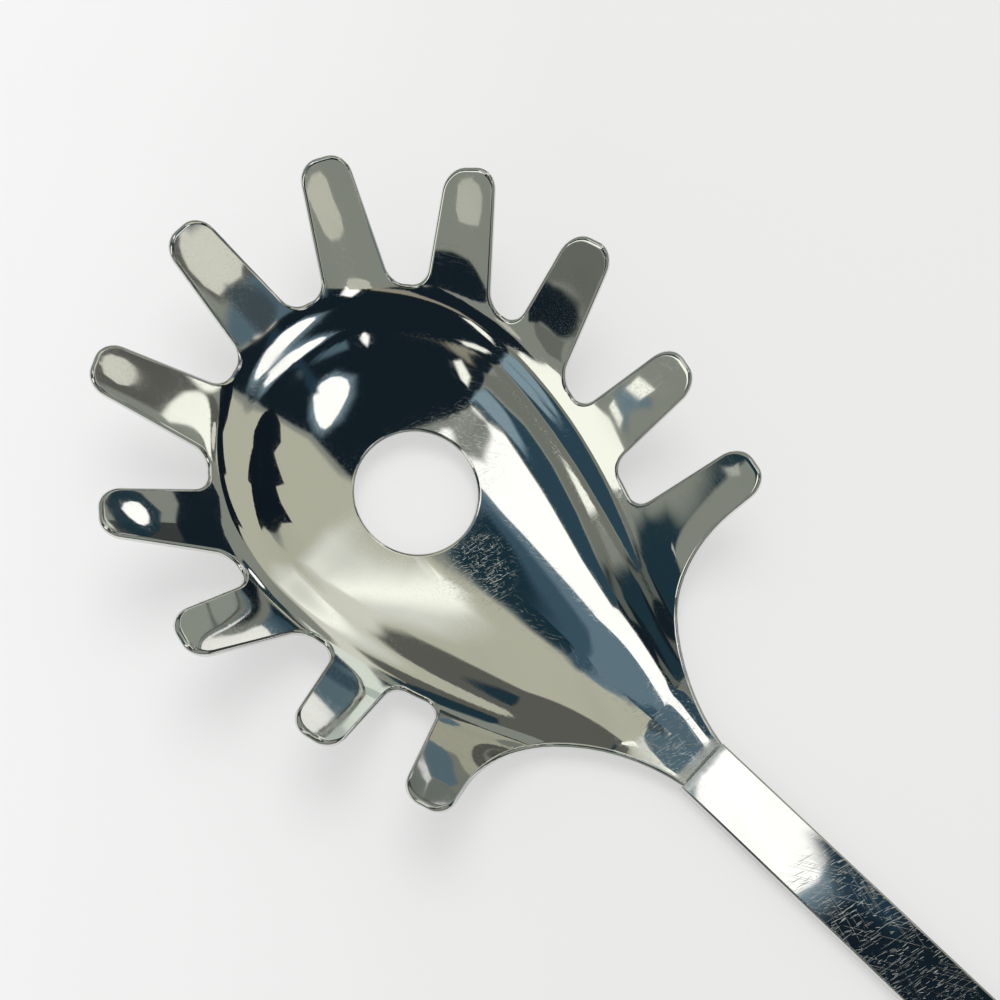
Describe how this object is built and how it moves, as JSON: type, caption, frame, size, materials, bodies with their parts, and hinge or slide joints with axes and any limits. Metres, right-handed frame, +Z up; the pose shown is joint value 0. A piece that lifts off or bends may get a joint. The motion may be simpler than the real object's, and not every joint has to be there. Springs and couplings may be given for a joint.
{
  "type": "pasta server",
  "caption": "Pasta server of pressed stainless steel: shallow pear-shaped bowl with a drain hole, round-ended teeth round the rim and a flat strip handle.",
  "frame": {"origin": "centre of the drain hole, half way through the sheet", "axes": "+X along the handle, away from the front tooth; +Z up out of the hollow side, square to the table it lies on; +Y completes the right-handed frame"},
  "size_m": [0.3134, 0.1096, 0.0295],
  "materials": {
    "pressed_steel": "stainless sheet, mirror polished, with fine scratches",
    "strip_steel": "stainless strip, polished, with fine scratches",
    "weld_steel": "weld nugget, ground flush"
  },
  "bodies": {
    "root": {"server_head": "pressed_steel", "handle_strip": "strip_steel", "neck_spot_weld": "weld_steel"}
  },
  "joints": []
}
